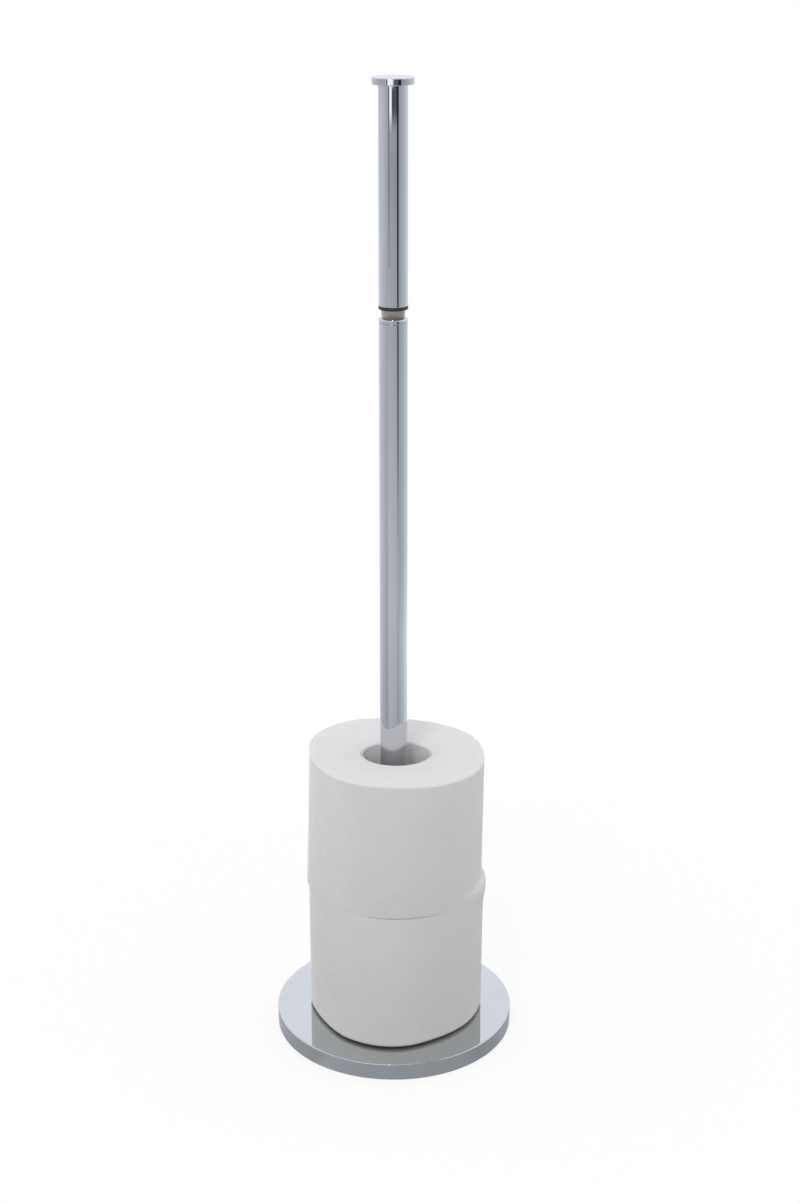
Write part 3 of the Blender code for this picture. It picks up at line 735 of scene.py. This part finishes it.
def makeEndCap():
    low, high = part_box("end_cap")
    stud, bevel, under = capSizes["stud"], capSizes["bevel"], low.z + capSizes["studLength"]
    cap = turnPiece("endCap", [
        (0, low.z, 0), (stud - bevel, low.z, 0), (stud, low.z + bevel, 0), (stud, under, 0),
        (high.x, under, capSizes["underRound"]), (high.x, high.z, capSizes["topRound"]), (0, high.z, 0)],
        "capChrome", sides=144, closed=False)
    standIn(cap, "end_cap", "arm", 40)


screwHeight, screwStart = makeTongue()
makeArmRing()
makeArmTube(screwHeight, screwStart)
makeEndCap()
print("arm made")


# Brake spring: a wire swept along a spiral

springSizes = {"Wire Radius": 0.7 * mm, "Coil Radius": 4.8 * mm, "Turns": 8.0, "Points Per Turn": 40, "Wire Sides": 12}


def makeSpringTree(inputs):
    tree, take, made = newGeometryTree("coilSpring", inputs)
    spiral = nodeOut("GeometryNodeCurveSpiral", {
        "Resolution": take["Points Per Turn"], "Rotations": take["Turns"], "Start Radius": take["Coil Radius"],
        "End Radius": take["Coil Radius"], "Height": take["Length"]})
    lifted = nodeOut("GeometryNodeTransform", {"Geometry": spiral, "Translation": combine(z=take["Bottom"])})
    wire = nodeOut("GeometryNodeCurvePrimitiveCircle", {
        "Resolution": take["Wire Sides"], "Radius": take["Wire Radius"]})
    swept = nodeOut("GeometryNodeCurveToMesh", {"Curve": lifted, "Profile Curve": wire, "Fill Caps": True})
    plug(made["Geometry"], dress(swept, take["Finish"]))
    return tree


def makeBrakeSpring():
    low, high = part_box("brake_spring")
    radius = springSizes["Wire Radius"]
    inputs = {**springSizes, "Length": high.z - low.z - 2 * radius, "Bottom": low.z + radius,
              "Finish": finishes["springSteel"]}
    spring = growPiece("brakeSpring", [(0, 0), (mm, 0)], makeSpringTree(inputs), inputs, closed=False)
    standIn(spring, "brake_spring", "stand", 60)


makeBrakeSpring()
print("brake spring made")


# Rolls: a wound ring of tissue on a board core, both a little out of round

# Outline radii are in mm about the post, every 30 degrees from +X towards +Y; "inputs" go into the roll's tree
rollSizes = {
    "lower": {
        "topOutline": (60.4, 58.4, 55.6, 54.8, 57.5, 59.0, 57.4, 56.0, 55.6, 55.8, 57.4, 59.4),
        "bottomOutline": (59.8, 59.0, 57.0, 56.5, 58.0, 58.6, 57.4, 55.8, 60.0, 61.8, 58.6, 59.0),
        "topRound": 0.0, "bottomRound": 3.0 * mm, "grow": (0.0, 0.12 * mm), "bulgeFromTop": 1.0 * mm, "coreRise": 0.0,
        "inputs": {
            "Shift": (0.7 * mm, -1.5 * mm, 0.0), "Mouth Dip": 0.0, "Unevenness": 0.06 * mm, "Bulge": 1.62 * mm,
            "Bulge Reach": 9 * mm, "Bulge Power": 2.0, "Gap": 0.4 * mm, "Gap Spread": math.radians(22.0)},
    },
    "upper": {
        "topOutline": (59.6, 59.3, 56.5, 56.4, 60.8, 60.7, 55.4, 54.0, 55.2, 56.0, 60.2, 61.6),
        "bottomOutline": (58.9, 58.15, 55.6, 54.8, 57.5, 59.2, 58.6, 56.0, 55.6, 55.8, 57.4, 59.0),
        "topRound": 1.6 * mm, "bottomRound": 0.0, "grow": (0.12 * mm, 0.0), "bulgeFromTop": 95.0 * mm,
        "coreRise": 1.1 * mm,
        "inputs": {
            "Shift": (1.7 * mm, -2.1 * mm, 0.0), "Mouth Dip": 0.2 * mm, "Unevenness": 0.25 * mm, "Bulge": 3.1 * mm,
            "Bulge Reach": 6.2 * mm, "Bulge Power": 4.0, "Gap": -1.0 * mm, "Gap Spread": math.radians(45.0)},
    },
}
rollInputs = {
    "Sides": 168, "Bore Radius": 21.6 * mm, "Bore Oval": 1.9 * mm, "Outer Radius": 57 * mm, "Ripple": 0.5 * mm,
    "Seed": 3.0, "Bulge Turn": math.radians(-2.0), "Bulge Spread": math.radians(24.0),
    "Gap Turn": math.radians(-84.0), **turning,
    "Side Finish": finishes["tissueSide"], "End Finish": finishes["tissueEnd"]}
rollShared = {"boreRound": 0.6 * mm, "coreWall": 0.8 * mm, "coreGap": 0.3 * mm, "coreRound": 0.2 * mm,
              "longestRun": 2.4 * mm, "gapPower": 4.0, "gapLayers": (0.7, 1.0), "rippleScale": 22.0,
              "topFrom": (0.9, 0.97), "dishPower": 1.5, "windingTurn": 0.7, "windingSteps": 16.0, "endSlope": 0.6}
curveEnds = 0.1  # share of the outline curve at each end that wraps round
curveTop = 100.0  # radius in mm at the top of the outline curve


# The outline radius at an angle, from a curve wrapped at both ends
def addOutlineCurve(turnShare, radii):
    turn, count = 1 - 2 * curveEnds, len(radii)
    spots = [(curveEnds + turn * index / count, radii[index % count] / curveTop) for index in range(-1, count + 2)]
    return times(addCurve(calc("MULTIPLY_ADD", turnShare, turn, curveEnds), spots, True), curveTop * mm)


# Falls from 1 to 0 on both sides of zero; a higher power is flatter on top
def addHump(value, power):
    return calc("EXPONENT", times(calc("POWER", calc("ABSOLUTE", value), power), -1.0))


def makeRollTree(place, sizes, inputs):
    tree, take, made = newGeometryTree(place + "RollWinding", inputs)
    ring = addTurning(take)
    spot = addNode(tree, "GeometryNodeInputPosition").outputs[0]
    x, y, z = separate(spot)
    flat = combine(x, y)
    away = vectorCalc("NORMALIZE", flat)
    angle = calc("ARCTAN2", y, x)
    turnShare = calc("FRACT", plus(calc("DIVIDE", angle, math.tau), 1.0))
    height = shareOf(z, take["Bottom"], take["Top"])
    layer = shareOf(vectorCalc("LENGTH", flat), take["Bore Radius"], take["Outer Radius"], clamp=False)
    kept = nodeOut("GeometryNodeStoreNamedAttribute", {"Geometry": ring, "Name": "layer", "Value": layer},
                   data_type="FLOAT", domain="POINT")
    # Outside: the two outlines, a bulge at one height, and soft ripples
    lowest, highest = (addOutlineCurve(turnShare, sizes[end + "Outline"]) for end in ("bottom", "top"))
    outline = mixValue(height, lowest, highest)
    aside = calc("DIVIDE", minus(angle, take["Bulge Turn"]), take["Bulge Spread"])
    off = calc("DIVIDE", minus(z, take["Bulge Height"]), take["Bulge Reach"])
    swell = times(addHump(aside, power=2.0), addHump(off, take["Bulge Power"]), take["Bulge"])
    soft = addNoise("4D", Vector=spot, W=take["Seed"], Scale=rollShared["rippleScale"], Detail=2.0)
    ripple = times(minus(soft, 0.5), take["Ripple"])
    outside = scaleVector(away, plus(outline, swell, ripple))
    # Bore: an oval about its own middle
    awayX, awayY, _ = separate(away)
    wide = times(awayX, plus(take["Bore Radius"], take["Bore Oval"]))
    deep = times(awayY, minus(take["Bore Radius"], take["Bore Oval"]))
    inside = vectorCalc("ADD", combine(wide, deep), take["Shift"])
    span = vectorCalc("SUBTRACT", outside, inside)
    plan = vectorCalc("ADD", inside, scaleVector(span, layer))
    # Top end: dished towards the bore, its windings at slightly different heights
    turned = scaleVector(away, rollShared["windingTurn"])
    winding = vectorCalc("ADD", turned, combine(z=times(layer, rollShared["windingSteps"])))
    steps = addNoise("4D", Vector=winding, W=take["Seed"], Scale=1.0, Detail=3.0, Roughness=0.6)
    inward = calc("MAXIMUM", minus(1.0, layer), 0.0)
    dish = times(calc("POWER", inward, rollShared["dishPower"]), take["Mouth Dip"])
    gapAside = calc("DIVIDE", minus(angle, take["Gap Turn"]), take["Gap Spread"])
    gap = times(addHump(gapAside, rollShared["gapPower"]), smoothStep(layer, *rollShared["gapLayers"]), take["Gap"])
    sink = times(plus(times(steps, take["Unevenness"]), dish, gap), smoothStep(height, *rollShared["topFrom"]))
    placed = vectorCalc("ADD", plan, combine(z=minus(z, sink)))
    moved = nodeOut("GeometryNodeSetPosition", {"Geometry": kept, "Position": placed})
    # Faces that look up or down are ends
    upright = separate(addNode(tree, "GeometryNodeInputNormal").outputs[0])[2]
    isEnd = nodeOut("FunctionNodeCompare", {"A": calc("ABSOLUTE", upright), "B": rollShared["endSlope"]},
                    operation="GREATER_THAN", data_type="FLOAT")
    ended = nodeOut("GeometryNodeSetMaterial", {
        "Geometry": dress(moved, take["Side Finish"]), "Selection": isEnd, "Material": take["End Finish"]})
    plug(made["Geometry"], ended)
    return tree


def makeRoll(place):
    sizes = rollSizes[place]
    low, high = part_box(place + "_roll_paper")
    bore, outer, boreRound = rollInputs["Bore Radius"], rollInputs["Outer Radius"], rollShared["boreRound"]
    bottom, top = low.z - sizes["grow"][0], high.z + sizes["grow"][1]
    outline = roundedOutline([
        (bore, bottom, boreRound), (outer, bottom, sizes["bottomRound"]),
        (outer, top, sizes["topRound"]), (bore, top, boreRound)], steps=5)
    bulgeHeight = high.z - sizes["bulgeFromTop"]
    inputs = {**rollInputs, **sizes["inputs"], "Bottom": bottom, "Top": top, "Bulge Height": bulgeHeight}
    paper = growPiece(place + "RollPaper", splitRuns(holdRuns(outline, True), rollShared["longestRun"]),
                      makeRollTree(place, sizes, inputs), inputs)
    standIn(paper, place + "_roll_paper", place + "_roll", 60)
    makeCore(place, sizes)


def makeCore(place, sizes):
    low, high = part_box(place + "_roll_core")
    edge, top = rollShared["coreRound"], high.z + sizes["coreRise"]
    outside = rollInputs["Bore Radius"] - rollShared["coreGap"]
    inside = outside - rollShared["coreWall"]
    core = turnPiece(place + "RollCore", [
        (inside, low.z, edge), (outside, low.z, edge), (outside, top, edge), (inside, top, edge)],
        "coreBoard", sides=144, steps=3)
    oval, (shiftX, shiftY, _) = rollInputs["Bore Oval"], sizes["inputs"]["Shift"]
    for vert in core.data.vertices:
        radius = math.hypot(vert.co.x, vert.co.y)
        vert.co.x = vert.co.x * (1 + oval / radius) + shiftX
        vert.co.y = vert.co.y * (1 - oval / radius) + shiftY
    standIn(core, place + "_roll_core", place + "_roll", 60)


makeRoll("lower")
makeRoll("upper")
print("rolls made")


# Finishes for the CAD pieces that are kept as they are
keptFinishes = {
    "base_weight": "castIron", "base_screw": "screwSteel", "base_washer": "pinSteel",
    "post_foot_plug": "pinSteel", "brake_plug": "plugNylon", "spring_seat": "pinSteel",
    "tongue_set_screw": "screwSteel", "cap_plug": "pinSteel",
}
for node, finish in keptFinishes.items():
    for materialSlot in nodes[node].material_slots:
        materialSlot.material = finishes[finish]


# Studio: floor, world, one lamp and the flags that chrome reflects

stageSizes = {"floorRadius": 4.5, "leftFrom": (0.43, 0.33), "rightFrom": (0.59, 0.66), "seenTone": 0.97,
              "mirrorTint": (0.952, 0.99, 1.06)}

# Tones that reflections find round the room by compass angle from the front, and on the floor by distance; on the floor
# both are painted light and shade, darkest near the object as its painted shadow; "glow" is the share of plain white
# that the camera sees, and "lit" the tone of the matt floor, darkened towards the object as painted shade, that also
# catches the object's shadow
roomByTurn = (
    (-180, 0.95), (-140, 0.98), (-120, 0.9), (-105, 0.84), (-90, 0.79), (-75, 0.73), (-60, 0.66), (-51, 0.635),
    (-47.5, 0.58), (-43.5, 0.57), (-39.5, 0.6), (-30, 0.56), (-20, 0.53), (0, 0.52), (20, 0.5), (45, 0.5),
    (60, 0.56), (75, 0.63), (90, 0.68), (100, 0.76), (112, 0.83), (125, 0.84), (140, 0.95), (180, 0.95))
floorTonesWithPaintedShade = {
    "front": ((0.0, 0.8), (0.09, 0.86), (0.2, 0.95), (0.4, 1.1), (0.57, 1.25), (0.85, 1.4), (1.0, 1.35),
              (1.4, 1.26), (1.8, 1.19), (2.1, 1.12), (2.8, 1.06), (3.3, 1.0), (3.8, 0.94), (4.5, 0.9)),
    "left": ((0.0, 0.66), (0.09, 0.68), (0.2, 0.7), (0.57, 0.77), (0.75, 0.86), (0.9, 0.9), (1.5, 0.9),
             (2.2, 0.93), (3.0, 0.97), (4.5, 0.98)),
    "right": ((0.0, 0.66), (0.09, 0.74), (0.2, 0.88), (0.57, 1.1), (0.73, 1.24), (0.85, 1.12), (1.0, 1.02),
              (1.4, 1.0), (4.5, 1.0)),
    "glow": ((0.0, 0.84), (0.12, 0.84), (0.5, 1.0), (4.5, 1.0)),
    "lit": ((0.0, 0.1), (0.12, 0.12), (0.35, 0.36), (0.8, 0.85), (4.5, 1.0)),
}


def addRamp(value, stops, smooth=False):
    top = max(level for _, level in stops)
    return times(addCurve(value, [(place, level / top) for place, level in stops], smooth), top)


# 0.5 is the front, 0.75 the right side
def addTurnShare(x, y):
    return calc("MULTIPLY_ADD", calc("ARCTAN2", x, times(y, -1.0)), 1 / math.tau, 0.5)


def addCompassRamp(turnShare, stops, smooth=False):
    return addRamp(turnShare, [(angle / 360 + 0.5, level) for angle, level in stops], smooth)


# Camera rays, mirrored rays, and how often a ray has left a matt surface
def addRays(tree):
    path = addNode(tree, "ShaderNodeLightPath").outputs
    mirrored = calc("MAXIMUM", path["Is Glossy Ray"], path["Is Transmission Ray"])
    return path["Is Camera Ray"], mirrored, path["Diffuse Depth"]


def emptyMaterial(name):
    material = bpy.data.materials.new(name)
    material.use_nodes = True
    tree = material.node_tree
    tree.nodes.clear()
    return material, tree, addNode(tree, "ShaderNodeOutputMaterial").inputs["Surface"]


def makeFloor():
    shape = bmesh.new()
    bmesh.ops.create_circle(shape, cap_ends=True, segments=96, radius=stageSizes["floorRadius"])
    floor = linkShape("studioFloor", shape)
    material, tree, end = emptyMaterial("studioFloor")
    where = objectPlace(tree)
    x, y, _ = separate(where)
    turnShare = addTurnShare(x, y)
    distance = calc("DIVIDE", vectorCalc("LENGTH", where), stageSizes["floorRadius"])
    tones = {side: addRamp(distance, [(far / stageSizes["floorRadius"], level) for far, level in stops])
             for side, stops in floorTonesWithPaintedShade.items()}
    # Towards the object the floor's tones fall as painted shadow, which reflections show
    fall = tones["front"]
    for side in ("left", "right"):
        fall = mixValue(smoothStep(turnShare, *stageSizes[side + "From"]), fall, tones[side])
    level = times(addCompassRamp(turnShare, roomByTurn, True), fall)
    seen, mirrored, _ = addRays(tree)
    # For rays other than the camera's, the matt floor's tone is darkened near the object by the "lit" ramp: painted
    # shade
    tone = mixValue(seen, times(level, tones["lit"]), stageSizes["seenTone"])
    matt = nodeOut("ShaderNodeBsdfDiffuse", {"Color": combine(tone, tone, tone)})
    glowTone = mixColor(seen, scaleVector(stageSizes["mirrorTint"], level), white)
    glow = nodeOut("ShaderNodeEmission", {"Color": glowTone, "Strength": 1.0})
    share = calc("MAXIMUM", times(seen, tones["glow"]), mirrored)
    plug(end, nodeOut("ShaderNodeMixShader", {0: share, 1: matt, 2: glow}))
    floor.data.materials.append(material)


# Tones of the room by height and turn as shares of a half and a whole circle, and of what stands far off in
# front, just under the horizon, by compass angle. "sideFill" is the added light on matt surfaces, "thrownBack"
# the share of the room's front that chrome throws back on the paper, and "tint" is for the left and the right
worldSizes = {
    "byHeight": ((0.0, 0.5), (0.5, 0.62), (0.56, 0.76), (0.62, 0.92), (0.66, 0.98), (0.72, 0.92), (0.8, 0.63),
                 (1.0, 0.42)),
    "byTurn": ((0.0, 1.4), (0.12, 1.3), (0.25, 1.15), (0.36, 0.78), (0.5, 0.54), (0.61, 0.9), (0.68, 1.5),
               (0.75, 1.9), (0.88, 1.6), (1.0, 1.4)),
    "farFront": ((-180, 1.0), (-40, 1.0), (-35, 0.75), (-32, 0.5), (-28.5, 0.5), (-26.5, 2.6), (-23, 2.9), (-14, 2.9),
                 (-11.5, 2.3), (-9, 0.6), (-5, 0.22), (0, 0.14), (6, 0.2), (13, 0.34), (20, 0.26), (27, 0.14),
                 (39, 0.08), (42, 0.3), (46, 0.95), (50, 1.0), (180, 1.0)),
    "capFront": ((-180, 1.0), (-115, 0.95), (-100, 0.88), (-78, 0.8), (-55, 0.92), (-42, 1.0), (-37, 1.3), (-34, 2.9),
                 (-4, 2.9), (-0.5, 2.2), (3, 0.7), (7, 0.36), (19, 0.3), (30, 0.17), (41, 0.12), (44, 0.5), (48, 0.88),
                 (70, 0.86), (88, 0.96), (110, 1.0), (180, 1.0)),
    "sideFill": ((-180, 1.0), (-165, 1.2), (-150, 1.65), (-90, 1.65), (-70, 1.2), (-50, 1.0), (50, 1.0),
                 (70, 1.15), (90, 1.55), (150, 1.55), (165, 1.15), (180, 1.0)),
    "thrownBack": 0.0, "mirrorTint": (0.958, 0.973, 1.04), "tint": (1.1, 1.05), "tintAcross": (-0.35, 0.35),
    "lowBand": (0.72, 0.5), "horizon": (0.48, 0.54), "frontBottom": (0.4612, 0.4648), "frontTop": (0.62, 0.53),
    "capFrom": (0.4678, 0.4684), "aheadDeep": (0.45, 0.15), "aheadHigh": (0.95, 0.85),
}


def worldStep(value, name):
    return smoothStep(value, *worldSizes[name])


def makeWorld():
    world = bpy.data.worlds.new("studioRoom")
    bpy.context.scene.world = world
    world.use_nodes = True
    tree = world.node_tree
    tree.nodes.clear()
    end = addNode(tree, "ShaderNodeOutputWorld").inputs["Surface"]
    x, y, z = separate(addNode(tree, "ShaderNodeTexCoord").outputs["Generated"])
    rise = calc("MULTIPLY_ADD", calc("ARCSINE", z), 1 / math.pi, 0.5)
    turnShare = addTurnShare(x, y)
    low = worldStep(rise, "lowBand")
    turned = mixValue(low, 1.0, addRamp(turnShare, worldSizes["byTurn"], True))
    tint = mixValue(worldStep(x, "tintAcross"), *worldSizes["tint"])
    above = times(addRamp(rise, worldSizes["byHeight"], True), turned, tint)
    below = addCompassRamp(turnShare, roomByTurn, True)
    plain = mixValue(worldStep(rise, "horizon"), below, above)
    inFront = times(worldStep(rise, "frontBottom"), worldStep(rise, "frontTop"))
    farFront, capFront = (addCompassRamp(turnShare, worldSizes[name]) for name in ("farFront", "capFront"))
    upper = mixValue(worldStep(rise, "capFrom"), farFront, capFront)
    front = mixValue(inFront, 1.0, upper)
    seen, mirrored, mattDepth = addRays(tree)
    sides = mixValue(low, 1.0, addCompassRamp(turnShare, worldSizes["sideFill"]))
    fill = mixValue(mirrored, sides, 1.0)
    fromMatt = times(mirrored, calc("GREATER_THAN", mattDepth, 0.5))
    ahead = times(worldStep(y, "aheadDeep"), worldStep(rise, "aheadHigh"))
    thrown = mixValue(times(fromMatt, ahead), 1.0, worldSizes["thrownBack"])
    strength = mixValue(seen, times(plain, front, fill, thrown), 1.0)
    color = mixColor(mirrored, white, (*worldSizes["mirrorTint"], 1))
    plug(end, nodeOut("ShaderNodeBackground", {"Color": color, "Strength": strength}))


lampPlace, lampAim = (-0.35, -0.95, 1.25), (0.0, 0.0, 0.12)
lampSizes = {"size": 0.5, "energy": 4.6}


def makeLamp():
    light = bpy.data.lights.new("keyLamp", "AREA")
    setAll(light, shape="DISK", **lampSizes)
    lamp = linkObject("keyLamp", light)
    lamp.location = lampPlace
    lamp.rotation_euler = (Vector(lampAim) - lamp.location).to_track_quat("-Z", "Y").to_euler()
    lamp.visible_glossy = False


# A card that only reflections see; its tone is one number, or goes by height
def hangCard(name, shape, tones):
    card = linkShape(name, shape)
    material, tree, end = emptyMaterial(name + "Glow")
    strength = addRamp(separate(objectPlace(tree))[2], tones) if isinstance(tones, tuple) else tones
    glow = addNode(tree, "ShaderNodeEmission", {"Color": white, "Strength": strength})
    plug(end, glow.outputs[0])
    card.data.materials.append(material)
    setAll(card, visible_camera=False, visible_shadow=False, visible_diffuse=False)


sparkSizes = {"place": (-0.03, -0.075, 0.78), "aim": (0, 0, 0.49), "size": 0.014, "strength": 160.0}


# A small bright card that the ferrule's edge picks up
def makeSpark():
    shape = bmesh.new()
    bmesh.ops.create_circle(shape, cap_ends=True, segments=24, radius=sparkSizes["size"] / 2)
    place = Vector(sparkSizes["place"])
    turn = (Vector(sparkSizes["aim"]) - place).to_track_quat("Z", "Y").to_matrix().to_4x4()
    bmesh.ops.transform(shape, matrix=Matrix.Translation(place) @ turn, verts=shape.verts)
    hangCard("sparkCard", shape, sparkSizes["strength"])


# Upright dark flags that stand round the object
flagSizes = (
    {"name": "frontFlag", "turn": 36.0, "width": 0.122, "bottom": 0.0,
     "tones": ((0.0, 0.5), (0.028, 0.5), (0.087, 0.57), (0.174, 0.58), (0.22, 0.43), (0.257, 0.28), (0.293, 0.2),
               (0.36, 0.12), (0.41, 0.07), (0.47, 0.035), (0.62, 0.03))},
    {"name": "leftFlag", "turn": -32.0, "width": 0.058, "bottom": 0.43,
     "tones": ((0.43, 0.36), (0.468, 0.26), (0.5, 0.15), (0.62, 0.11))},
    {"name": "sideFlag", "turn": -119.0, "width": 0.075, "bottom": 0.43,
     "tones": ((0.43, 0.88), (0.47, 0.6), (0.62, 0.55))},
)


def makeFlag(name, turn, width, bottom, tones, top=0.62, far=0.5):
    angle = math.radians(turn)
    away = Vector((math.sin(angle), -math.cos(angle), 0)) * far
    side = Vector((math.cos(angle), math.sin(angle), 0)) * width / 2
    corners = [away + side * sign + Vector((0, 0, height))
               for sign, height in ((-1, bottom), (1, bottom), (1, top), (-1, top))]
    shape = bmesh.new()
    shape.faces.new([shape.verts.new(corner) for corner in corners])
    hangCard(name, shape, tones)


cameraPlace, cameraDown = (0.0041, -1.2139, 0.7504), 20.10
cameraSizes = {"lens": 60.2, "sensor_width": 36, "clip_start": 0.01}


def makeCamera():
    view = bpy.data.cameras.new("photoCamera")
    setAll(view, sensor_fit="AUTO", **cameraSizes)
    camera = linkObject("photoCamera", view)
    camera.location = cameraPlace
    camera.rotation_euler = (math.radians(90 - cameraDown), 0, 0)
    bpy.context.scene.camera = camera


makeFloor()
makeWorld()
makeLamp()
makeSpark()
for flag in flagSizes:
    makeFlag(**flag)
makeCamera()
bpy.context.scene.view_settings.view_transform = "Standard"
print("studio made")
